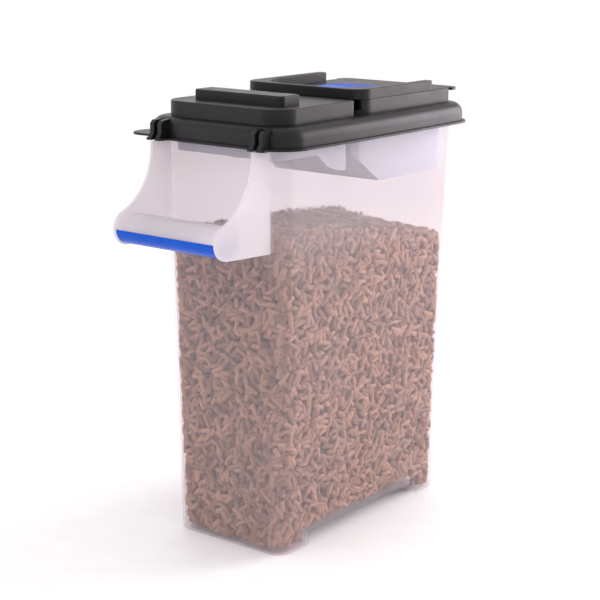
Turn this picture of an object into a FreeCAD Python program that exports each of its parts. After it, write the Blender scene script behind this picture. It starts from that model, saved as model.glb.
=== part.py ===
"""Pet food bin: a tall translucent tub with a fixed carrying handle on one end, a snap-off black lid,
a flip-up pouring lid on top and a pouring chute hung under it.

All sizes are in millimetres. The solids are modelled about the tub's own upright centre line, with z = 0
on the surface that the feet stand on, the handle towards -X and the pouring end towards +X. On export
they are shifted so that the origin lies at the middle of the whole bin's footprint.
"""
import FreeCAD, Part
import math
import os

V = FreeCAD.Vector
UP = V(0, 0, 1)
ACROSS = V(0, 1, 0)

# ---- origin: the middle of the footprint, measured from the tub's centre line ----
SHIFT = V(30.6, -9.5, 0)

# ---- tub ----
TUB_BASE = (133.0, 67.0)        # half length and half width at the floor
TUB_TOP = (140.0, 75.0)         # the same at the height of the lid's lip
TUB_CORNER = (16.0, 17.0)       # corner radius at the floor and at the lip
WALL = 2.2
RIM_TOP = 402.5                 # top face of the tub's rim
RIM_DROP = 7.0                  # how far the rim's outer edge turns down
RIM_PLATE = 2.2
RIM_GAP = 0.8                   # between the rim's edge and the lid's skirt
RIM_EDGE = 1.0
FOOT_CHANNEL = (-90.0, 94.0)    # the open channel between the two feet
FOOT_HEIGHT = 14.2
FOOT_EDGE = 3.5                 # rounding round the bottom of each foot
CHANNEL_EDGE = 5.0              # rounding where the channel's sides meet its roof

# ---- handle ----
WING_Y = 60.5                   # middle plane of each wing
WING_PLATE = 2.6
WING_TOP = 391.6
WING_TIP_X = -166.7             # the wing's upright edge, just below the lid
WING_ROOT_LOW = 296.6           # where the wing's bottom edge meets the tub
BAR_X, BAR_Z = -201.4, 316.0    # centre of the bar and of each wing's round end
WING_END_R = 16.3
WINGS = (1, -1)                 # the +Y wing and the -Y wing
SWEEP_Z = 388.5                 # height of the centre of the wing's hollow front curve
BAR_HALF = (15.6, 14.6)         # the oval bar's half width and half height
BAR_WALL = 2.2
BAR_RIBS = (-36.0, -12.0, 12.0, 36.0)
BAR_RIB_PLATE = 1.6
GRIP_RIBS = (-24.0, 0.0, 24.0)
GRIP_RIB_RISE = 5.5
GRIP_WALL = 2.4
GRIP_END_GAP = 0.3
BAR_CUTTER = 100.0              # a size larger than the bar's section

# ---- lid ----
LIP_BOTTOM = 392.0
LIP_PLATE = 2.2
LIP_HALF = (153.5, 90.0)        # half length and half width at the lip's corners
LIP_CORNER = 29.5
LIP_OUT = 3.5                   # how far the lip stands out from the skirt
LIP_EDGE = 0.8
LID_BOW = 3.0                   # how far each side bows out at its middle
LID_WALL = 2.4
DECK = 412.5                    # top face of the lid's deck
SHOULDER = 11.0                 # rounding from skirt to deck
SEAL_HALF = (137.0, 72.0)       # the rib that plugs into the tub's mouth
SEAL_BOTTOM = 397.0
SEAT_HALF = (141.8, 76.8)       # the rib that sits on the tub's rim
SEAT_GAP = 0.1
RIB_PLATE = 2.0
RIB_SINK = 0.5                  # how far the two ribs run up into the deck
SEAL_CORNER = 14.0
SEAT_CORNER = 19.0

# ---- pull tab at one corner of the lip ----
TAB_X = (-145.5, -112.0)
TAB_Y = (60.0, 112.0)           # from inside the lip out to the tab's end
TAB_CORNER = 14.0

# ---- ears on the lid's handle end, one astride each wing ----
EAR_Y = (53.5, 68.2)
EAR_SLOT = 4.2
EAR_FACE_X = -160.6
EAR_FOOT_X = -162.9
EAR_LIP_X = -164.6
EAR_LIP_SPREAD = 3.0            # how far the ear's lip runs past it on each side
EAR_LIP_CHAMFER = 2.5
EAR_SLOT_DEPTH = 10.0           # how far the slot runs in through the ear's lip
EAR_FLARE_TOP = 4.5             # above the lip, where the ear's face turns upright
EAR_TOE = (0.8, 1.2)            # the small foot where the face meets the lip
EAR_TOP = 410.0
EAR_ROUND = 3.0
EAR_EDGE = 0.7

# ---- raised blocks on the lid ----
BLOCK_HALF_Y = 72.0
REAR_BLOCK_X = (-141.2, -29.8)
REAR_BLOCK_TOP = 427.1
REAR_BLOCK_CORNERS = (23.0, 3.0)
BAR_BLOCK_X = (-115.4, -89.6)
BAR_BLOCK_HALF_Y = 53.5
BAR_BLOCK_TOP = 436.3
BAR_BLOCK_CORNERS = (4.0, 1.5)
BLOCK_EDGE = 1.3
REAR_HOLLOW_CORNER = 1.0        # the rear block's hollow, at its +X end
BAR_HOLLOW_CORNERS = (1.6, 0.5)

# ---- pouring tray under the flip lid ----
TRAY_X = (-21.6, 133.5)
TRAY_TOP = 426.0
TRAY_CORNERS = (17.0, 4.0)
TRAY_FRONT_TOP = 423.3          # the front wall is cut down for the flip lid's plate
TRAY_BACK_TOP = 416.2           # and the back wall for its hinge end
TRAY_BACK_NOTCH_X = -14.7
MOUTH_X = (20.0, 122.0)
MOUTH_HALF_Y = 52.0
MOUTH_CORNER = 12.0
MOUTH_RING = 2.2
MOUTH_RING_TOP = 423.3

# ---- flip lid ----
PLATE_BOTTOM = 423.6
PLATE_TOP = 426.4
PLATE_X = (-18.8, 137.0)
PLATE_HALF_Y = 69.2
PLATE_CORNER = 14.2
THUMB_X = (134.6, 149.6)
THUMB_HALF_Y = 73.4
THUMB_CORNERS = (1.5, 11.0)
THUMB_EDGES = (1.1, 0.8)        # rounding of its top and of its bottom edge
FENCE_X = (-21.6, 102.0)
FENCE_TOP = 436.0
FENCE_CORNERS = (17.0, 3.0)
FENCE_EDGE = 1.2
RECESS_X = -15.6
RECESS_HALF_Y = 62.0
RECESS_CORNER = 40.0
RECESS_PAST = 30.0              # how far the recess's cutter runs past the arms
FENCE_WALL = 2.4
CORE_CORNER = 1.0               # the hollow's corners at the ends of the arms
CORE_FROM_Y = 42.0              # the fence's back is solid between these
PLUG_DEPTH = 5.0                # the ring under the plate that plugs the mouth
PLUG_GAP = 0.7
PLUG_PLATE = 1.8

# ---- hinge of the flip lid ----
HINGE_X, HINGE_Z = -15.4, 424.3
PIN_R = 1.5
PIN_CLEARANCE = 0.05
EYE_R = 3.0
HINGE_SPAN = (46.4, 56.6)       # the pin's two ends, on each side
KNUCKLE_SPAN = (49.7, 53.3)
HINGE_CHEEK = 3.0
CHEEK_FOOT_X = (0.3, 4.0)       # the cheek's foot, ahead of the pin
KNUCKLE_HALF_X = 2.6

# ---- label: a thin plain film on the floor of the flip lid's recess ----
LABEL_X = (25.0, 97.0)
LABEL_HALF_Y = 39.0
LABEL_CORNER = 12.0
LABEL_THICK = 0.4

# ---- guards hung under the lid ----
GUARD_TOP = DECK - LID_WALL
GUARD_HALF_Y = 64.0
GUARD_WALL = 2.0
GUARD_FLANGE = 8.0
GUARD_CORNER = 10.0
CHUTE_X = (-17.5, 133.5)
CHUTE_BOTTOM = 344.0
CHUTE_BACK = [(-17.5, 376.0), (-14.4, 369.8), (6.2, 355.4), (22.7, 344.0)]
RAMP_RISE = 2.4                 # upright thickness of the sloping back panel
APRON_X = (-133.0, -26.0)
APRON_EDGE = [(-133.0, 380.0), (-77.0, 380.0), (-60.0, 366.7), (-42.0, 361.5), (-26.0, 360.5)]

EPS = 1.0                       # how far a cutter runs past what it cuts


# ------------------------------------------------------------------ helpers
def rounded_wire(half, radius, z):
    """A rectangle with rounded corners, centred on the z axis."""
    hx, hy = half
    k = radius * (1 - math.sqrt(0.5))
    corners = [(-1, -1), (1, -1), (1, 1), (-1, 1)]
    arcs = []
    for sx, sy in corners:
        on_x = V(sx * (hx - radius), sy * hy, z)
        on_y = V(sx * hx, sy * (hy - radius), z)
        middle = V(sx * (hx - k), sy * (hy - k), z)
        ends = (on_y, on_x) if sx * sy > 0 else (on_x, on_y)
        arcs.append((ends[0], middle, ends[1]))
    edges = []
    for i, (start, middle, end) in enumerate(arcs):
        edges.append(Part.Arc(start, middle, end).toShape())
        edges.append(Part.LineSegment(end, arcs[(i + 1) % 4][0]).toShape())
    return Part.Wire(edges)


def edges_at(shape, z):
    """The edges of a shape that lie wholly at one height."""
    return [e for e in shape.Edges
            if abs(e.BoundBox.ZMin - z) < 1e-4 and abs(e.BoundBox.ZMax - z) < 1e-4]


def upright_edges(shape, low_x=-1e9, high_x=1e9):
    """The upright edges of a shape whose x lies between two values."""
    return [e for e in shape.Edges
            if e.BoundBox.XLength < 1e-4 and e.BoundBox.YLength < 1e-4
            and low_x < e.BoundBox.XMin < high_x]


def block(span_x, half_y, low, high, corners=(0.0, 0.0), top_edge=0.0):
    """A block across the bin. corners are the upright radii at its -X and its +X end."""
    x0, x1 = span_x
    made = Part.makeBox(x1 - x0, 2 * half_y, high - low, V(x0, -half_y, low))
    middle = (x0 + x1) / 2
    for radius, bounds in ((corners[0], (-1e9, middle)), (corners[1], (middle, 1e9))):
        if radius:
            made = made.makeFillet(radius, upright_edges(made, *bounds))
    if top_edge:
        made = made.makeFillet(top_edge, edges_at(made, high))
    return made


def bowed_block(half, radius, low, high, top_edge=0.0):
    """A block whose four sides bow gently outwards, with rounded upright corners."""
    hx, hy = half
    corners = [V(-hx, -hy, low), V(hx, -hy, low), V(hx, hy, low), V(-hx, hy, low)]
    middles = [V(0, -hy - LID_BOW, low), V(hx + LID_BOW, 0, low),
               V(0, hy + LID_BOW, low), V(-hx - LID_BOW, 0, low)]
    sides = [Part.Arc(corners[i], middles[i], corners[(i + 1) % 4]).toShape() for i in range(4)]
    made = Part.Face(Part.Wire(sides)).extrude(UP * (high - low))
    made = made.makeFillet(radius, upright_edges(made))
    if top_edge:
        made = made.makeFillet(top_edge, edges_at(made, high))
    return made


def inset(half, by):
    """A half length and half width, each made smaller."""
    return (half[0] - by, half[1] - by)


def profile_plate(points, low_y, high_y):
    """A plate of constant section: points are (x, z) corners, joined by straight edges."""
    loop = [V(x, low_y, z) for x, z in points]
    face = Part.Face(Part.makePolygon(loop + loop[:1]))
    return face.extrude(ACROSS * (high_y - low_y))


def fuse(shapes):
    return shapes[0].multiFuse(shapes[1:]).removeSplitter()


def span_y(side, span):
    """A span of y on one side of the bin, lowest first."""
    return tuple(sorted((side * span[0], side * span[1])))


# ------------------------------------------------------------------ tub
def tub_half(z, inwards=0.0):
    """The tub's half length and half width at a height."""
    t = z / LIP_BOTTOM
    return tuple(base + (top - base) * t - inwards for base, top in zip(TUB_BASE, TUB_TOP))


def tub_corner(z, inwards=0.0):
    return TUB_CORNER[0] + (TUB_CORNER[1] - TUB_CORNER[0]) * z / LIP_BOTTOM - inwards


def tub_block(inwards, floor, top):
    """The tub's tapered body, or with inwards its hollow, channel between the feet included."""
    ends = [rounded_wire(tub_half(z, inwards), tub_corner(z, inwards), z) for z in (floor, top)]
    body = Part.makeLoft(ends, True, True)
    low, high = FOOT_CHANNEL
    roof = FOOT_HEIGHT + inwards
    width = 2 * TUB_TOP[1]
    channel = Part.makeBox(high - low + 2 * inwards, 2 * width, roof + EPS,
                           V(low - inwards, -width, -EPS))
    along = [e for e in edges_at(channel, roof) if e.BoundBox.YLength > width]
    channel = channel.makeFillet(CHANNEL_EDGE + inwards, along)
    body = body.cut(channel)
    return body.makeFillet(FOOT_EDGE - inwards, edges_at(body, floor))


def rim():
    """The tub's outward rim, turned down at its edge so that the lid's skirt snaps over it."""
    outer = inset(LIP_HALF, LIP_OUT + LID_WALL + RIM_GAP)
    radius = LIP_CORNER - LIP_OUT - LID_WALL
    drop = RIM_TOP - RIM_DROP
    whole = bowed_block(outer, radius, drop, RIM_TOP, top_edge=RIM_EDGE)
    under = bowed_block(inset(outer, RIM_PLATE), radius - RIM_PLATE, drop - EPS,
                        RIM_TOP - RIM_PLATE)
    return whole.cut(under)


def wing(side):
    """One wing: a plate from the tub's end wall out to the bar, with a hollow front curve."""
    root_x = -TUB_TOP[0] + WALL
    ahead, above = WING_TIP_X - BAR_X, SWEEP_Z - BAR_Z
    # the hollow curve leaves the upright edge and runs tangent into the round end
    sweep_r = (ahead ** 2 + above ** 2 - WING_END_R ** 2) / (2 * (ahead + WING_END_R))
    sweep_x = WING_TIP_X - sweep_r
    meet = math.atan2(SWEEP_Z - BAR_Z, sweep_x - BAR_X)   # from the bar towards the curve's centre
    low_y = side * WING_Y - WING_PLATE / 2

    def at(x, z):
        return V(x, low_y, z)

    def on_sweep(angle):
        return at(sweep_x + sweep_r * math.cos(angle), SWEEP_Z + sweep_r * math.sin(angle))

    def on_end(angle):
        return at(BAR_X + WING_END_R * math.cos(angle), BAR_Z + WING_END_R * math.sin(angle))

    reach = math.hypot(root_x - BAR_X, WING_ROOT_LOW - BAR_Z)
    bottom = math.atan2(WING_ROOT_LOW - BAR_Z, root_x - BAR_X) - math.acos(WING_END_R / reach)
    join = meet - math.pi
    corners = [at(root_x, WING_ROOT_LOW), at(root_x, WING_TOP), at(WING_TIP_X, WING_TOP), on_sweep(0.0)]
    edges = [Part.LineSegment(a, b).toShape() for a, b in zip(corners, corners[1:])]
    edges.append(Part.Arc(on_sweep(0.0), on_sweep(join / 2), on_sweep(join)).toShape())
    edges.append(Part.Arc(on_end(meet), on_end((meet + 2 * math.pi + bottom) / 2),
                          on_end(bottom)).toShape())
    edges.append(Part.LineSegment(on_end(bottom), corners[0]).toShape())
    return Part.Face(Part.Wire(edges)).extrude(ACROSS * WING_PLATE)


def oval_bar(inwards, half_y):
    """The handle's oval bar, solid, between the wings."""
    a, b = (size - inwards for size in BAR_HALF)
    oval = Part.Ellipse(V(BAR_X, -half_y, BAR_Z), a, b).toShape()
    oval.rotate(V(BAR_X, -half_y, BAR_Z), V(1, 0, 0), 90)
    return Part.Face(Part.Wire([oval])).extrude(ACROSS * (2 * half_y))


def half_space(above):
    """A large block above or below the plane that parts the bar."""
    size = 4 * BAR_CUTTER
    low = BAR_Z if above else BAR_Z - size
    return Part.makeBox(size, size, size, V(BAR_X - size / 2, -size / 2, low))


def bar_ribs(places, inwards, top):
    """Oval plates across the bar at these y places, cut off at a height."""
    size = BAR_CUTTER
    slabs = [Part.makeBox(size, BAR_RIB_PLATE, size, V(BAR_X - size / 2, y - BAR_RIB_PLATE / 2, top - size))
             for y in places]
    return oval_bar(inwards, WING_Y).common(Part.makeCompound(slabs))


def container():
    outer = tub_block(0.0, 0.0, RIM_TOP)
    hollow = tub_block(WALL, WALL, RIM_TOP + EPS)
    top_half = oval_bar(0.0, WING_Y).cut(oval_bar(BAR_WALL, WING_Y + EPS)).common(half_space(True))
    ribs = bar_ribs(BAR_RIBS, BAR_WALL / 2, BAR_Z + BAR_HALF[1]).common(half_space(True))
    wings = [wing(side) for side in WINGS]
    return fuse([outer, rim(), top_half, *ribs.Solids, *wings]).cut(hollow)


def handle_grip():
    """The coloured shell that clips up under the bar, with ribs that reach into the bar's hollow."""
    half_y = WING_Y - WING_PLATE / 2 - GRIP_END_GAP
    shell = oval_bar(0.0, half_y).cut(oval_bar(GRIP_WALL, half_y + EPS)).common(half_space(False))
    ribs = bar_ribs(GRIP_RIBS, GRIP_WALL / 2, BAR_Z + GRIP_RIB_RISE)
    clear = oval_bar(BAR_WALL + GRIP_END_GAP, WING_Y).fuse(half_space(False))
    return fuse([shell, *ribs.common(clear).Solids])


# ------------------------------------------------------------------ lid
def lid_tab():
    """The flat pull tab that carries the lip on past one corner, on the +Y side."""
    x0, x1 = TAB_X
    y0, y1 = TAB_Y
    plate = Part.makeBox(x1 - x0, y1 - y0, LIP_PLATE, V(x0, y0, LIP_BOTTOM))
    outer = [e for e in upright_edges(plate) if e.BoundBox.YMin > y1 - EPS]
    plate = plate.makeFillet(TAB_CORNER, outer)
    return plate.makeFillet(LIP_EDGE, edges_at(plate, LIP_BOTTOM + LIP_PLATE))


def lid_ear(side):
    """Two upright pads with a slot between them, on a lip of their own, astride one wing."""
    inner, outer = EAR_Y
    middle = (inner + outer) / 2
    behind = -LIP_HALF[0] + LIP_OUT + LID_WALL
    lip_top = LIP_BOTTOM + LIP_PLATE
    toe_x, toe_z = EAR_TOE
    face = [(behind, LIP_BOTTOM + EPS), (EAR_LIP_X + toe_x, LIP_BOTTOM + EPS), (EAR_FOOT_X, lip_top + toe_z),
            (EAR_FACE_X, lip_top + EAR_FLARE_TOP), (EAR_FACE_X, EAR_TOP - EAR_ROUND),
            (EAR_FACE_X + EAR_ROUND, EAR_TOP), (behind - EPS, EAR_TOP + EPS), (behind, EAR_TOP)]
    pads = []
    for span in ((inner, middle - EAR_SLOT / 2), (middle + EAR_SLOT / 2, outer)):
        low, high = span_y(side, span)
        pad = profile_plate(face, low, high)
        sides = [e for e in pad.Edges if e.BoundBox.YLength < 1e-4 and e.BoundBox.XMax < behind - 4 * EPS]
        pads.append(pad.makeFillet(EAR_EDGE, sides))
    low, high = span_y(side, (inner - EAR_LIP_SPREAD, outer + EAR_LIP_SPREAD))
    lip = Part.makeBox(behind - EAR_LIP_X, high - low, LIP_PLATE, V(EAR_LIP_X, low, LIP_BOTTOM))
    tips = [e for e in upright_edges(lip) if e.BoundBox.XMax < EAR_LIP_X + EPS]
    lip = lip.makeChamfer(EAR_LIP_CHAMFER, tips)
    slot = Part.makeBox(EAR_SLOT_DEPTH + EPS, EAR_SLOT, 2 * LIP_PLATE,
                        V(EAR_LIP_X - EPS, side * middle - EAR_SLOT / 2, LIP_BOTTOM - EPS))
    return fuse([*pads, lip.cut(slot)])


def ring(half, radius, plate, low, high):
    """An upright rib that runs right round, plate thick inside its outline."""
    outer = block((-half[0], half[0]), half[1], low, high, (radius, radius))
    inner = inset(half, plate)
    return outer.cut(block((-inner[0], inner[0]), inner[1], low - EPS, high + EPS,
                           (radius - plate, radius - plate)))


def tray_walls():
    """The low walls round the pouring mouth, cut down at the back and front for the flip lid."""
    x0, x1 = TRAY_X
    outer = block(TRAY_X, BLOCK_HALF_Y, DECK - EPS, TRAY_TOP, TRAY_CORNERS)
    inner = block((x0 + LID_WALL, x1 - LID_WALL), BLOCK_HALF_Y - LID_WALL, DECK - 2 * EPS, TRAY_TOP + EPS,
                  (TRAY_CORNERS[0] - LID_WALL, TRAY_CORNERS[1] - LID_WALL))
    back = block((x0 - EPS, TRAY_BACK_NOTCH_X), BLOCK_HALF_Y + EPS, TRAY_BACK_TOP, TRAY_TOP + EPS)
    front = block((x1 - LID_WALL - EPS, x1 + EPS), BLOCK_HALF_Y - LID_WALL, TRAY_FRONT_TOP, TRAY_TOP + EPS)
    return outer.cut(inner).cut(back).cut(front)


def hinge_cheeks(side):
    """The two upright cheeks that hold one hinge pin, each with its foot ahead of the pin."""
    start, end = HINGE_SPAN
    cheeks = []
    for span in ((start, start + HINGE_CHEEK), (end - HINGE_CHEEK, end)):
        low, high = span_y(side, span)
        eye = Part.makeCylinder(EYE_R, high - low, V(HINGE_X, low, HINGE_Z), ACROSS)
        foot = Part.makeBox(CHEEK_FOOT_X[1] - CHEEK_FOOT_X[0], high - low, HINGE_Z - DECK + EPS,
                            V(HINGE_X + CHEEK_FOOT_X[0], low, DECK - EPS))
        hole = Part.makeCylinder(PIN_R, high - low, V(HINGE_X, low, HINGE_Z), ACROSS)
        cheeks.append(eye.fuse(foot).cut(hole))
    return cheeks


def lid():
    skirt_half = inset(LIP_HALF, LIP_OUT)
    skirt_corner = LIP_CORNER - LIP_OUT
    lip_top = LIP_BOTTOM + LIP_PLATE
    shell = bowed_block(skirt_half, skirt_corner, LIP_BOTTOM, DECK, top_edge=SHOULDER)
    lip = bowed_block(LIP_HALF, LIP_CORNER, LIP_BOTTOM, lip_top, top_edge=LIP_EDGE)
    rear = block(REAR_BLOCK_X, BLOCK_HALF_Y, DECK - LID_WALL, REAR_BLOCK_TOP, REAR_BLOCK_CORNERS, BLOCK_EDGE)
    bar = block(BAR_BLOCK_X, BAR_BLOCK_HALF_Y, REAR_BLOCK_TOP - LID_WALL, BAR_BLOCK_TOP,
                BAR_BLOCK_CORNERS, BLOCK_EDGE)
    ears = [lid_ear(side) for side in WINGS]
    outside = fuse([shell, lip, lid_tab(), *ears, rear, bar, tray_walls()])

    hollow = bowed_block(inset(skirt_half, LID_WALL), skirt_corner - LID_WALL, LIP_BOTTOM - EPS,
                         DECK - LID_WALL, top_edge=SHOULDER - LID_WALL)
    x0, x1 = REAR_BLOCK_X
    rear_hollow = block((x0 + LID_WALL, x1 - LID_WALL), BLOCK_HALF_Y - LID_WALL, DECK - 2 * LID_WALL,
                        REAR_BLOCK_TOP - LID_WALL, (REAR_BLOCK_CORNERS[0] - LID_WALL, REAR_HOLLOW_CORNER))
    x0, x1 = BAR_BLOCK_X
    bar_hollow = block((x0 + LID_WALL, x1 - LID_WALL), BAR_BLOCK_HALF_Y - LID_WALL,
                       REAR_BLOCK_TOP - 2 * LID_WALL, BAR_BLOCK_TOP - LID_WALL, BAR_HOLLOW_CORNERS)
    mouth = block(MOUTH_X, MOUTH_HALF_Y, DECK - 2 * LID_WALL, MOUTH_RING_TOP + EPS,
                  (MOUTH_CORNER, MOUTH_CORNER))
    ring_x = (MOUTH_X[0] - MOUTH_RING, MOUTH_X[1] + MOUTH_RING)
    mouth_ring = block(ring_x, MOUTH_HALF_Y + MOUTH_RING, DECK - EPS, MOUTH_RING_TOP,
                       (MOUTH_CORNER + MOUTH_RING,) * 2)
    cheeks = hinge_cheeks(1) + hinge_cheeks(-1)
    seal = ring(SEAL_HALF, SEAL_CORNER, RIB_PLATE, SEAL_BOTTOM, DECK - LID_WALL + RIB_SINK)
    seat = ring(SEAT_HALF, SEAT_CORNER, RIB_PLATE, RIM_TOP + SEAT_GAP, DECK - LID_WALL + RIB_SINK)
    shell = outside.cut(hollow).cut(rear_hollow).cut(bar_hollow)
    return fuse([shell, mouth_ring, *cheeks, seal, seat]).cut(mouth)


def hinge_pin(side):
    low, high = span_y(side, HINGE_SPAN)
    return Part.makeCylinder(PIN_R, high - low, V(HINGE_X, low, HINGE_Z), ACROSS)


# ------------------------------------------------------------------ flip lid
def fence():
    """The raised U-shaped wall on the flip lid, open towards the thumb lip, hollow from below."""
    outer = block(FENCE_X, BLOCK_HALF_Y, PLATE_TOP, FENCE_TOP, FENCE_CORNERS)
    recess = block((RECESS_X, FENCE_X[1] + RECESS_PAST), RECESS_HALF_Y, PLATE_TOP - EPS, FENCE_TOP + EPS,
                   (RECESS_CORNER, 0.0))
    wall = outer.cut(recess)
    return wall.makeFillet(FENCE_EDGE, edges_at(wall, FENCE_TOP))


def fence_core():
    """The hollow inside the fence's two arms and its thick rear corners."""
    low, high = PLATE_BOTTOM - EPS, FENCE_TOP - FENCE_WALL
    outer = block((FENCE_X[0] + FENCE_WALL, FENCE_X[1] - FENCE_WALL), BLOCK_HALF_Y - FENCE_WALL, low, high,
                  (FENCE_CORNERS[0] - FENCE_WALL, CORE_CORNER))
    inner = block((RECESS_X - FENCE_WALL, FENCE_X[1] + EPS), RECESS_HALF_Y + FENCE_WALL, low - EPS,
                  high + EPS, (RECESS_CORNER + FENCE_WALL, 0.0))
    middle = block((FENCE_X[0], RECESS_CORNER), CORE_FROM_Y, low - EPS, high + EPS)
    return outer.cut(inner).cut(middle)


def knuckle(side):
    """The eye that turns on one hinge pin, hung from the roof of the fence's hollow corner."""
    low, high = span_y(side, KNUCKLE_SPAN)
    eye = Part.makeCylinder(EYE_R, high - low, V(HINGE_X, low, HINGE_Z), ACROSS)
    stem = Part.makeBox(2 * KNUCKLE_HALF_X, high - low, FENCE_TOP - FENCE_WALL / 2 - HINGE_Z,
                        V(HINGE_X - KNUCKLE_HALF_X, low, HINGE_Z))
    hole = Part.makeCylinder(PIN_R + PIN_CLEARANCE, high - low, V(HINGE_X, low, HINGE_Z), ACROSS)
    return eye.fuse(stem).cut(hole)


def flip_lid():
    plate = block(PLATE_X, PLATE_HALF_Y, PLATE_BOTTOM, PLATE_TOP, (PLATE_CORNER, 0.0))
    thumb = block(THUMB_X, THUMB_HALF_Y, PLATE_BOTTOM, PLATE_TOP, THUMB_CORNERS, top_edge=THUMB_EDGES[0])
    thumb = thumb.makeFillet(THUMB_EDGES[1], edges_at(thumb, PLATE_BOTTOM))
    plug_x = (MOUTH_X[0] + PLUG_GAP, MOUTH_X[1] - PLUG_GAP)
    plug_y = MOUTH_HALF_Y - PLUG_GAP
    corner = MOUTH_CORNER - PLUG_GAP
    plug = block(plug_x, plug_y, PLATE_BOTTOM - PLUG_DEPTH, PLATE_BOTTOM + EPS, (corner, corner))
    plug = plug.cut(block((plug_x[0] + PLUG_PLATE, plug_x[1] - PLUG_PLATE), plug_y - PLUG_PLATE,
                          PLATE_BOTTOM - PLUG_DEPTH - EPS, PLATE_BOTTOM, (corner - PLUG_PLATE,) * 2))
    body = fuse([fence(), plate, thumb, plug]).cut(fence_core())
    return fuse([body, knuckle(1), knuckle(-1)])


def flip_lid_label():
    return block(LABEL_X, LABEL_HALF_Y, PLATE_TOP, PLATE_TOP + LABEL_THICK, (LABEL_CORNER, LABEL_CORNER))


# ------------------------------------------------------------------ guards under the lid
def guard(span, lower_edge):
    """A guard hung under the lid: a flanged skirt that ends below along (x, z) points from -X to +X."""
    x0, x1 = span
    low = min(z for x, z in lower_edge) - EPS
    corners = (GUARD_CORNER, GUARD_CORNER)
    outer = block(span, GUARD_HALF_Y, low, GUARD_TOP, corners)
    inner = block((x0 + GUARD_WALL, x1 - GUARD_WALL), GUARD_HALF_Y - GUARD_WALL, low - EPS, GUARD_TOP + EPS,
                  (GUARD_CORNER - GUARD_WALL,) * 2)
    flange_hole = block((x0 + GUARD_FLANGE, x1 - GUARD_FLANGE), GUARD_HALF_Y - GUARD_FLANGE,
                        GUARD_TOP - 2 * GUARD_WALL, GUARD_TOP + EPS, (GUARD_CORNER / 2,) * 2)
    flange = block(span, GUARD_HALF_Y, GUARD_TOP - GUARD_WALL, GUARD_TOP, corners).cut(flange_hole)
    below = [(x0 - EPS, low - 2 * EPS), (x0 - EPS, lower_edge[0][1]), *lower_edge,
             (x1 + EPS, lower_edge[-1][1]), (x1 + EPS, low - 2 * EPS)]
    cutter = profile_plate(below, -GUARD_HALF_Y - EPS, GUARD_HALF_Y + EPS)
    return fuse([outer.cut(inner), flange]).cut(cutter)


def pour_chute():
    """The chute under the tray: an open-bottomed box whose back panel slopes down towards the spout."""
    shell = guard(CHUTE_X, [*CHUTE_BACK, (CHUTE_X[1], CHUTE_BOTTOM)])
    top_side = [(x, z + RAMP_RISE) for x, z in reversed(CHUTE_BACK)]
    ramp = profile_plate(CHUTE_BACK + top_side, GUARD_WALL / 2 - GUARD_HALF_Y, GUARD_HALF_Y - GUARD_WALL / 2)
    outline = block(CHUTE_X, GUARD_HALF_Y, CHUTE_BOTTOM - EPS, GUARD_TOP, (GUARD_CORNER, GUARD_CORNER))
    return fuse([shell, ramp.common(outline)])


def rear_apron():
    """The apron under the rear block, deeper towards the chute."""
    return guard(APRON_X, APRON_EDGE)


PARTS = {
    "container": container,
    "handle_grip": handle_grip,
    "lid": lid,
    "flip_lid": flip_lid,
    "hinge_pin_left": lambda: hinge_pin(1),
    "hinge_pin_right": lambda: hinge_pin(-1),
    "pour_chute": pour_chute,
    "rear_apron": rear_apron,
    "flip_lid_label": flip_lid_label,
}

os.makedirs("parts", exist_ok=True)
for name, make in PARTS.items():
    shape = make().translated(SHIFT)
    shape.exportStep(f"parts/{name}.step")
    box = shape.BoundBox
    print(f"{name}: {len(shape.Solids)} solid(s), valid {shape.isValid()}, {shape.Volume / 1000:.1f} cm3, "
          f"{box.XLength:.1f} x {box.YLength:.1f} x {box.ZLength:.1f}")
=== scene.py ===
"""Looks for the pet food bin: materials for every CAD node, the dry food inside it as a staged prop,
and a plain white studio."""
import math

import bpy
import numpy as np
from mathutils import Matrix, Vector


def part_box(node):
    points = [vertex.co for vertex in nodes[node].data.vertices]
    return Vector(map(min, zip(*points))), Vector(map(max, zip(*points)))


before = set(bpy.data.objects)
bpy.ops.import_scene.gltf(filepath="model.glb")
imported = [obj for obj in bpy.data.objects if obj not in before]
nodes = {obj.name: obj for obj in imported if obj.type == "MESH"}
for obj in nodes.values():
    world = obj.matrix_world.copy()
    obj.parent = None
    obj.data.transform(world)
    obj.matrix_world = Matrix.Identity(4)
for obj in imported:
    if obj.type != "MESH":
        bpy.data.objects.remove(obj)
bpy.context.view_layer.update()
scene = bpy.context.scene

# ---- the tub, in metres, about its own upright centre line ----
TUB_CENTRE = (0.0306, -0.0095)
TUB_BASE = (0.133, 0.067)       # half length and half width at the floor
TUB_TOP = (0.140, 0.075)        # the same under the lid
TUB_HEIGHT = 0.392
TUB_CORNER = 0.0165
WALL = 0.0022
CHANNEL = (-0.090, 0.094)       # between the two feet
CHANNEL_ROOF = 0.0142

# ---- the food ----
SEED = 41
PELLET_R = 0.0025
PELLET_LENGTH = (0.008, 0.017)
PELLET_SIDES = 7
PELLET_WIDEST = 1.15            # the thickest place of the thickest pellet, in pellet radii
PELLET_RADII = (0.88, 1.08)     # the range of thickness, in pellet radii
PELLET_RINGS = ((-0.5, 0.72), (-0.42, 1.0), (0.0, 1.04), (0.42, 1.0), (0.5, 0.72))  # along it, and how wide
WALL_PITCH = (0.0080, 0.0058)   # along the wall and up it
WALL_LAYERS = 2
WALL_LAYER_STEP = 1.9           # from one layer to the next, in pellet radii
WALL_TILT = 0.16                # how far pellets lean out of the wall's plane, in radians
DEEPER_PAINTED_SHADE = 0.45             # painted shade: each layer's brown, as a share of the one outside it, darker as if in its shadow
HEAP_PITCH = 0.0078
HEAP_JITTER = (0.004, 0.002)    # sideways and upright
HEAP_LAYERS = 3
HEAP_LAYER_STEP = 1.8
HEAP_TILT = 0.35
CORE_INSET = 2.2                # from the last layer at the wall to the core, in pellet radii
CORE_DEPTH = 8                  # from the heap's surface down to the core, in pellet radii
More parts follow.
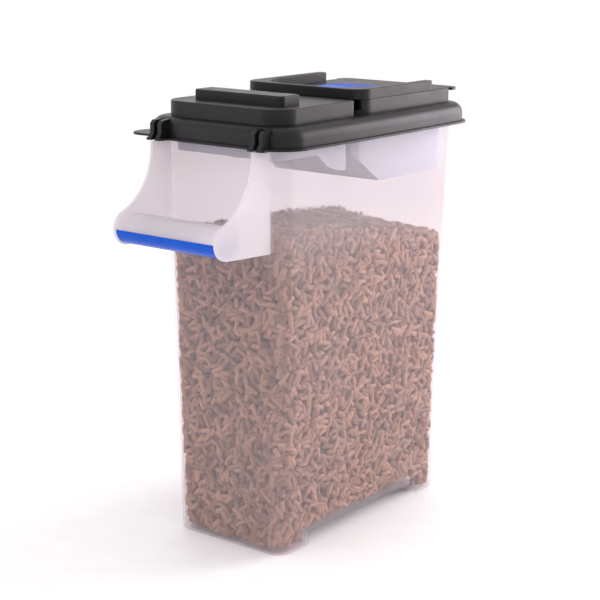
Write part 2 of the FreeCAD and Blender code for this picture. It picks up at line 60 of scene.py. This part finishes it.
CORE_PITCH = 0.01
FILL = 0.2995                   # the heap's height at the tub's middle
FILL_TILT = 0.006               # down from the middle to the +X wall
FILL_DROP = 0.0145              # and more so beyond the middle
FILL_TWIST = 0.0065             # opposite corners up, the other two down
FILL_LUMP = 0.0016
HEAP_ROOM = 0.03                # no pellet at the wall starts higher than this over FILL

# ---- the camera ----
CAMERA_AT = Vector((-1.1992, -0.9586, 0.5903))
CAMERA_HEADING = 38.12          # degrees from +X towards +Y
CAMERA_DOWN = 13.46
CAMERA_ROLL = 0.22
CAMERA_LENS = 95.07
SENSOR_WIDTH = 36.0

# ---- the studio ----
AIM_HEIGHT = 0.22               # where the softboxes point, on the bin's upright middle line
SOFTBOX_TINT = (1.0, 0.93, 0.98)
WORLD_TINT = (1.0, 0.97, 0.99)
WORLD_STRENGTH = 1.13
FLOOR_HALF = 12.0
# each one's turn from the camera's heading, elevation, distance, size and power
SOFTBOXES = {
    "box_left": (104, 14, 1.6, (1.0, 1.2), 2.4),
    "box_right": (-64, 14, 1.6, (0.8, 1.0), 20),
    "box_back": (0, 26, 1.8, (1.4, 0.7), 0.6),
    "box_top": (90, 78, 1.5, (1.2, 1.2), 0.8),
}

rng = np.random.default_rng(SEED)


# ------------------------------------------------------------------ node helpers
class Tree:
    """A short way to write a node tree."""

    def __init__(self, name):
        self.material = bpy.data.materials.new(name)
        self.material.use_nodes = True
        self.nodes = self.material.node_tree.nodes
        self.links = self.material.node_tree.links
        self.nodes.clear()
        self.output = self.nodes.new("ShaderNodeOutputMaterial")
        self.coords = self.nodes.new("ShaderNodeTexCoord").outputs["Object"]

    def add(self, kind, settings=None, **inputs):
        node = self.nodes.new("ShaderNode" + kind)
        for key, value in (settings or {}).items():
            setattr(node, key, value)
        for key, value in inputs.items():
            self.put(node, key.replace("_", " "), value)
        return node

    def put(self, node, key, value):
        socket = node.inputs[int(key)] if key.isdigit() else node.inputs[key]
        if isinstance(value, bpy.types.NodeSocket):
            self.links.new(value, socket)
        else:
            socket.default_value = value

    def noise(self, scale, detail=3.0, roughness=0.5, stretch=None):
        vector = self.coords
        if stretch:
            vector = self.add("Mapping", Vector=vector, Scale=stretch).outputs[0]
        return self.add("TexNoise", Vector=vector, Scale=scale, Detail=detail,
                        Roughness=roughness).outputs[0]

    def ramp(self, value, low, high, out_low, out_high):
        return self.add("MapRange", Value=value, From_Min=low, From_Max=high, To_Min=out_low,
                        To_Max=out_high).outputs[0]

    def spread(self, noise, out_low, out_high):
        """A noise's usual range, stretched to run from one value to another."""
        return self.ramp(noise, 0.3, 0.7, out_low, out_high)

    def calc(self, operation, a, b):
        return self.add("Math", {"operation": operation}, **{"0": a, "1": b}).outputs[0]

    def blend(self, factor, a, b):
        """A shader between a and b."""
        return self.add("MixShader", **{"0": factor, "1": a.outputs[0], "2": b.outputs[0]})

    def mix(self, factor, a, b):
        """A colour between a and b."""
        node = self.nodes.new("ShaderNodeMix")
        node.data_type = "RGBA"
        for key, value in (("0", factor), ("6", a), ("7", b)):
            self.put(node, key, value)
        return node.outputs[2]

    def bump(self, height, distance, strength):
        return self.add("Bump", Height=height, Distance=distance, Strength=strength).outputs[0]

    def finish(self, shader):
        self.links.new(shader.outputs[0], self.output.inputs["Surface"])
        return self.material


def rgb(red, green, blue):
    """An opaque colour."""
    return (red, green, blue, 1.0)


# ------------------------------------------------------------------ materials
def black_plastic(name, tint, roughness, seed):
    """Satin black moulding: a fine spark-eroded grain, faint flow marks and a little dust."""
    t = Tree(name)
    flow = t.noise(9.0 + seed, 2.0, stretch=(1.0, 1.6, 0.6))
    grain = t.noise(1400.0, 2.0, 0.6)
    wear = t.noise(60.0 + seed, 5.0, 0.65)
    dust = t.ramp(t.noise(900.0, 1.0, 0.4), 0.74, 0.80, 0.0, 0.35)
    base = t.mix(t.spread(flow, 0.0, 1.0), rgb(*tint), rgb(*(1.5 * c for c in tint)))
    colour = t.mix(dust, base, rgb(0.16, 0.15, 0.15))
    rough = t.spread(wear, roughness - 0.04, roughness + 0.06)
    normal = t.bump(grain, 0.00008, 0.6)
    shader = t.add("BsdfPrincipled", Base_Color=colour, Roughness=rough, Normal=normal)
    shader.inputs["Specular IOR Level"].default_value = 0.26
    return t.finish(shader)


def translucent_plastic():
    """Milky polypropylene: a white haze over what it holds, a little blur, and light comes through it."""
    t = Tree("milky_polypropylene")
    flow = t.noise(5.0, 3.0, stretch=(1.0, 1.0, 0.35))
    scuff = t.noise(210.0, 4.0, 0.7)
    tint = t.mix(t.ramp(flow, 0.35, 0.65, 0.0, 1.0), rgb(0.79, 0.75, 0.775), rgb(0.83, 0.79, 0.815))
    rough = t.ramp(scuff, 0.3, 0.75, 0.16, 0.26)
    haze = t.add("BsdfPrincipled", Base_Color=tint, Roughness=rough)
    haze.inputs["Specular IOR Level"].default_value = 0.5
    glow = t.add("BsdfTranslucent", Color=tint)
    milky = t.blend(0.35, haze, glow)
    dye = rgb(0.957, 0.937, 0.944)
    blurred = t.add("BsdfRefraction", Color=dye, Roughness=0.12, IOR=1.02)
    clear = t.add("BsdfTransparent", Color=dye)
    seen = t.blend(0.7, blurred, clear)
    # clearer where food lies against the wall, milkier on the handle beyond the end wall
    place = t.add("SeparateXYZ", Vector=t.coords).outputs
    end_wall = TUB_CENTRE[0] - TUB_TOP[0]
    beyond, short_of = end_wall - 0.004, end_wall - 0.001
    on_tub = t.ramp(place["X"], beyond, short_of, 0.0, 1.0)
    on_food = t.ramp(place["Z"], FILL - 0.03, FILL + 0.012, 0.07, 0.0)
    on_handle = t.ramp(place["X"], beyond, short_of, 0.45, 0.0)
    open_wall = t.calc("ADD", t.spread(flow, 0.77, 0.82), t.calc("MULTIPLY", on_food, on_tub))
    wall = t.blend(t.calc("SUBTRACT", open_wall, on_handle), milky, seen)
    lamp = t.add("LightPath").outputs["Is Shadow Ray"]
    return t.finish(t.blend(t.calc("MULTIPLY", lamp, 0.9), wall, clear))


def guard_plastic():
    """Pale blue-grey moulding, slightly translucent, with a fine satin grain."""
    t = Tree("guard_plastic")
    cloud = t.noise(14.0, 3.0)
    grain = t.noise(900.0, 2.0, 0.6)
    tint = t.mix(t.spread(cloud, 0.0, 1.0), rgb(0.60, 0.645, 0.74), rgb(0.66, 0.70, 0.78))
    body = t.add("BsdfPrincipled", Base_Color=tint, Roughness=t.spread(grain, 0.38, 0.48),
                 Normal=t.bump(grain, 0.00006, 0.5))
    glow = t.add("BsdfTranslucent", Color=tint)
    return t.finish(t.blend(0.3, body, glow))


def blue_plastic():
    """Glossy blue moulding with a little variation in gloss and fine handling scratches."""
    t = Tree("blue_gloss")
    cloud = t.noise(30.0, 3.0)
    scratch = t.noise(700.0, 3.0, 0.6, stretch=(1.0, 0.04, 1.0))
    colour = t.mix(t.spread(cloud, 0.0, 1.0), rgb(0.0, 0.070, 0.46), rgb(0.001, 0.085, 0.54))
    rough = t.ramp(scratch, 0.35, 0.7, 0.2, 0.34)
    shader = t.add("BsdfPrincipled", Base_Color=colour, Roughness=rough,
                   Normal=t.bump(scratch, 0.00005, 0.5))
    shader.inputs["Specular IOR Level"].default_value = 0.15
    return t.finish(shader)


def label_film():
    """A plain printed film: two blues with a soft edge between them, and no lettering."""
    t = Tree("label_film")
    along = t.add("SeparateXYZ", Vector=t.coords).outputs["X"]
    low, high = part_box("flip_lid_label")
    length = high.x - low.x
    band = t.ramp(along, low.x + 0.6 * length, low.x + 0.64 * length, 0.0, 1.0)
    grain = t.noise(420.0, 3.0)
    blue = t.mix(t.spread(grain, 0.0, 1.0), rgb(0.004, 0.11, 0.72), rgb(0.008, 0.14, 0.80))
    colour = t.mix(band, blue, rgb(0.002, 0.05, 0.42))
    shader = t.add("BsdfPrincipled", Base_Color=colour, Roughness=t.spread(grain, 0.45, 0.55),
                   Normal=t.bump(grain, 0.00004, 0.4))
    shader.inputs["Specular IOR Level"].default_value = 0.15
    return t.finish(shader)


def food_material():
    """Baked feed: each pellet its own brown, with the deeper layers at the wall darker as painted shade,
    rough and slightly crumbly.
    """
    t = Tree("dry_food")
    # one value a pellet: its own brown, and the painted shade of the deeper layers at the wall
    tone_and_painted_shade = t.add("Attribute", {"attribute_name": "tone_and_painted_shade"}).outputs["Fac"]
    crumb = t.noise(900.0, 4.0, 0.65)
    brown = t.mix(tone_and_painted_shade, rgb(0.21, 0.105, 0.066), rgb(0.60, 0.345, 0.222))
    colour = t.mix(t.ramp(crumb, 0.3, 0.75, 0.0, 0.55), brown, rgb(0.11, 0.045, 0.026))
    shader = t.add("BsdfPrincipled", Base_Color=colour, Roughness=t.spread(crumb, 0.6, 0.85),
                   Normal=t.bump(crumb, 0.0003, 0.8))
    return t.finish(shader)


def plain(name, colour, roughness):
    """One colour with a faint cloudiness, for what isn't part of the bin."""
    t = Tree(name)
    cloud = t.spread(t.noise(40.0, 2.0), 0.97, 1.0)
    tone = t.mix(cloud, rgb(0, 0, 0), rgb(*colour))
    return t.finish(t.add("BsdfPrincipled", Base_Color=tone, Roughness=roughness))


# ------------------------------------------------------------------ the food
def tub_half(z, inset):
    """The tub's half length and half width at a height, a distance in from its outside."""
    t = z / TUB_HEIGHT
    return tuple(base + (top - base) * t - inset for base, top in zip(TUB_BASE, TUB_TOP))


def outline(z, inset, pitch):
    """Points round the tub's wall at a height, with the outward direction at each."""
    hx, hy = tub_half(z, inset)
    radius = max(TUB_CORNER - inset, 0.003)
    flat_x, flat_y = 2 * (hx - radius), 2 * (hy - radius)
    arc = radius * math.pi / 2
    # each side's quarter turn, its flat length and the signs of the corner centre it starts from
    sides = ((0, flat_y, 1, -1), (1, flat_x, 1, 1), (2, flat_y, -1, 1), (3, flat_x, -1, -1))
    points = []
    total = 2 * flat_x + 2 * flat_y + 4 * arc
    count = int(total / pitch)
    for k in range(count):
        s = total * k / count
        for turn, flat, cx, cy in sides:
            facing = turn * math.pi / 2
            out = Vector((math.cos(facing), math.sin(facing)))
            along = Vector((-out.y, out.x))
            centre = Vector((cx * (hx - radius), cy * (hy - radius)))
            if s < flat:
                points.append((centre + out * radius + along * s, out))
                break
            s -= flat
            if s < arc:
                angle = facing + s / radius
                out = Vector((math.cos(angle), math.sin(angle)))
                corner = centre + along * flat
                points.append((corner + out * radius, out))
                break
            s -= arc
    return points


def fill_height(x, y):
    """The height of the food's surface at a place in the tub."""
    lumps = math.sin(31 * x + 1.3) * math.cos(43 * y) + 0.5 * math.sin(70 * x + 55 * y)
    along, across = x / TUB_BASE[0], y / TUB_BASE[1]
    return (FILL - FILL_TILT * along - FILL_DROP * max(along, 0.0) + FILL_TWIST * along * across
            + FILL_LUMP * lumps)


def floor_height(x, margin):
    """The outside height of the tub's floor, with the channel widened by a margin."""
    return CHANNEL_ROOF if CHANNEL[0] - margin < x < CHANNEL[1] + margin else 0.0


def beyond_wall(point):
    """How far a pellet's end at a point would stick into the tub's wall, as a way outwards."""
    inset = WALL + PELLET_WIDEST * PELLET_R
    hx, hy = tub_half(point.z, inset)
    radius = TUB_CORNER - inset
    past = Vector((math.copysign(max(abs(point.x) - hx + radius, 0.0), point.x),
                   math.copysign(max(abs(point.y) - hy + radius, 0.0), point.y), 0.0))
    return past * (1 - radius / past.length) if past.length > radius else Vector()


def kept_inside(middle, way, length):
    """A pellet's middle, moved so that neither of its ends sticks into the wall or the floor."""
    for end in (-0.5, 0.5, -0.5, 0.5):
        middle = middle - beyond_wall(middle + way * end * length)
    under = floor_height(middle.x, 0.003 + abs(way.x) * length / 2)
    middle.z = max(middle.z, under + WALL + PELLET_WIDEST * PELLET_R + abs(way.z) * length / 2)
    return middle


def wall_pellets():
    """Middle, direction, length and tone of each pellet that lies against the wall; the tone is its own
    brown, with painted shade that darkens each layer further in.
    """
    places = []
    step_along, step_up = WALL_PITCH
    for layer in range(WALL_LAYERS):
        inset = WALL + PELLET_R * PELLET_WIDEST + layer * WALL_LAYER_STEP * PELLET_R
        z = WALL + PELLET_R * 1.2
        while z < FILL + HEAP_ROOM:
            for point, out in outline(z, inset, step_along):
                slide, rise = rng.uniform(-0.5, 0.5, 2)
                place = Vector((point.x - out.y * slide * step_along, point.y + out.x * slide * step_along,
                                z + rise * step_up))
                floor = floor_height(place.x, 0.002) + WALL + PELLET_R
                if not floor < place.z < fill_height(place.x, place.y) - PELLET_R:
                    continue
                around, tilt = rng.uniform(0, math.pi), rng.normal(0, WALL_TILT)
                tangent = Vector((-out.y, out.x, 0)) * math.cos(around) + Vector((0, 0, 1)) * math.sin(around)
                lean = Vector((out.x, out.y, 0)) * math.sin(tilt)
                way = (tangent * math.cos(tilt) + lean).normalized()
                length = rng.uniform(*PELLET_LENGTH)
                # the pellet's own random brown, times a painted shade for each layer further in
                tone_and_painted_shade = rng.uniform() * DEEPER_PAINTED_SHADE ** layer
                places.append((kept_inside(place, way, length), way, length, tone_and_painted_shade))
            z += step_up
    return places


def heap_pellets():
    """The same for the layers at the heap's surface."""
    places = []
    hx, hy = tub_half(FILL, WALL + 2 * PELLET_R)
    sideways, upright = HEAP_JITTER
    for layer in range(HEAP_LAYERS):
        x = -hx
        while x < hx:
            y = -hy
            while y < hy:
                px, py = x + rng.uniform(-sideways, sideways), y + rng.uniform(-sideways, sideways)
                px, py = max(-hx, min(hx, px)), max(-hy, min(hy, py))
                turn, tilt = rng.uniform(0, 2 * math.pi), rng.normal(0, HEAP_TILT)
                level = math.cos(tilt)
                way = Vector((math.cos(turn) * level, math.sin(turn) * level, math.sin(tilt)))
                z = fill_height(px, py) - layer * HEAP_LAYER_STEP * PELLET_R + rng.uniform(-upright, upright)
                length = rng.uniform(*PELLET_LENGTH)
                places.append((kept_inside(Vector((px, py, z)), way, length), way, length, rng.uniform()))
                y += HEAP_PITCH
            x += HEAP_PITCH
    return places


def joined_mesh(name, verts, faces, smooth):
    """A mesh object, linked into the scene."""
    mesh = bpy.data.meshes.new(name)
    mesh.from_pydata(verts, [], faces)
    mesh.polygons.foreach_set("use_smooth", [smooth] * len(mesh.polygons))
    piece = bpy.data.objects.new(name, mesh)
    scene.collection.objects.link(piece)
    return piece


def pellets():
    """Every pellet as a short extruded stick with rounded ends, in one mesh."""
    verts, faces, tones_and_painted_shades = [], [], []
    angles = [2 * math.pi * k / PELLET_SIDES for k in range(PELLET_SIDES)]
    for middle, way, length, tone_and_painted_shade in wall_pellets() + heap_pellets():
        side = way.orthogonal().normalized()
        over = way.cross(side)
        radius = PELLET_R * rng.uniform(*PELLET_RADII)
        start = len(verts)
        at = middle + Vector((*TUB_CENTRE, 0))
        for along, wide in PELLET_RINGS:
            for angle in angles:
                ring = side * math.cos(angle) + over * math.sin(angle)
                verts.append(tuple(at + way * along * length + ring * radius * wide))
        bands = len(PELLET_RINGS) - 1
        for band in range(bands):
            first = start + band * PELLET_SIDES
            for k in range(PELLET_SIDES):
                a, b = first + k, first + (k + 1) % PELLET_SIDES
                faces.append((a, b, b + PELLET_SIDES, a + PELLET_SIDES))
        faces.append(tuple(start + k for k in reversed(range(PELLET_SIDES))))
        faces.append(tuple(start + bands * PELLET_SIDES + k for k in range(PELLET_SIDES)))
        # each pellet's own brown together with its painted layer shade
        tones_and_painted_shades += [tone_and_painted_shade] * (len(PELLET_RINGS) * PELLET_SIDES)
    food = joined_mesh("food_pellets", verts, faces, True)
    food.data.attributes.new("tone_and_painted_shade", "FLOAT", "POINT").data.foreach_set("value", tones_and_painted_shades)
    food.data.materials.append(food_material())


def food_painted_shade_core():
    """A dark block behind the outer pellets, so that nothing shows between them: painted shade in place of
    the food further in.
    """
    inset = WALL + PELLET_R * (CORE_INSET + WALL_LAYER_STEP * WALL_LAYERS)
    low = CHANNEL_ROOF + WALL + 2 * PELLET_R
    ring = [p for p, _ in outline(low, inset, CORE_PITCH)]
    bottoms = [(p.x + TUB_CENTRE[0], p.y + TUB_CENTRE[1], low) for p in ring]
    tops = [(x, y, fill_height(p.x, p.y) - CORE_DEPTH * PELLET_R) for p, (x, y, _) in zip(ring, bottoms)]
    count = len(ring)
    faces = [(k, (k + 1) % count, count + (k + 1) % count, count + k) for k in range(count)]
    faces += [tuple(reversed(range(count))), tuple(range(count, 2 * count))]
    core = joined_mesh("food_painted_shade_core", bottoms + tops, faces, False)
    core.data.materials.append(plain("food_shadow", (0.03, 0.015, 0.008), 1.0))


# ------------------------------------------------------------------ studio
def camera():
    """The camera, aimed by its heading, its tilt down and its small roll."""
    data = bpy.data.cameras.new("camera")
    data.lens = CAMERA_LENS
    data.sensor_width = SENSOR_WIDTH
    data.clip_end = 50.0
    view = bpy.data.objects.new("camera", data)
    turn = Matrix.Rotation(math.radians(CAMERA_HEADING - 90), 4, "Z")
    tip = Matrix.Rotation(math.radians(90 - CAMERA_DOWN), 4, "X")
    roll = Matrix.Rotation(math.radians(CAMERA_ROLL), 4, "Z")
    view.matrix_world = Matrix.Translation(CAMERA_AT) @ turn @ tip @ roll
    scene.collection.objects.link(view)
    scene.camera = view


def softbox(name, azimuth, elevation, distance, size, power):
    """An area light that faces the bin. Azimuth is where it stands, in degrees from +X towards +Y."""
    data = bpy.data.lights.new(name, "AREA")
    data.shape = "RECTANGLE"
    data.size, data.size_y = size
    data.energy = power
    data.color = SOFTBOX_TINT
    lamp = bpy.data.objects.new(name, data)
    az, el = math.radians(azimuth), math.radians(elevation)
    place = Vector((math.cos(az) * math.cos(el), math.sin(az) * math.cos(el), math.sin(el))) * distance
    lamp.location = Vector((0, 0, AIM_HEIGHT)) + place
    lamp.rotation_euler = (-place).to_track_quat("-Z", "Y").to_euler()
    scene.collection.objects.link(lamp)


def floor():
    """The white floor that the bin stands on."""
    half = FLOOR_HALF
    piece = joined_mesh("floor", [(-half, -half, 0), (half, -half, 0), (half, half, 0), (-half, half, 0)],
                        [(0, 1, 2, 3)], False)
    piece.data.materials.append(plain("floor_white", (0.93, 0.93, 0.93), 0.6))


def studio():
    """A white world a little over full strength, the softboxes and the floor."""
    world = bpy.data.worlds.new("studio")
    scene.world = world
    world.use_nodes = True
    background = world.node_tree.nodes["Background"]
    background.inputs["Color"].default_value = rgb(*WORLD_TINT)
    background.inputs["Strength"].default_value = WORLD_STRENGTH
    scene.view_settings.view_transform = "Standard"
    for name, (turn, *rest) in SOFTBOXES.items():
        softbox(name, CAMERA_HEADING + turn, *rest)
    floor()


MATERIALS = {
    "container": translucent_plastic(),
    "handle_grip": blue_plastic(),
    "lid": black_plastic("lid_satin", (0.0055, 0.005, 0.006), 0.39, 0),
    "flip_lid": black_plastic("flip_lid_satin", (0.006, 0.0055, 0.0065), 0.42, 3),
    "pour_chute": guard_plastic(),
    "rear_apron": guard_plastic(),
    "hinge_pin_left": black_plastic("pin_plastic", (0.02, 0.02, 0.02), 0.3, 1),
    "hinge_pin_right": black_plastic("pin_plastic_2", (0.02, 0.02, 0.02), 0.3, 2),
    "flip_lid_label": label_film(),
}
for name, material in MATERIALS.items():
    slots = nodes[name].data.materials
    slots.clear()
    slots.append(material)

pellets()
food_painted_shade_core()
camera()
studio()
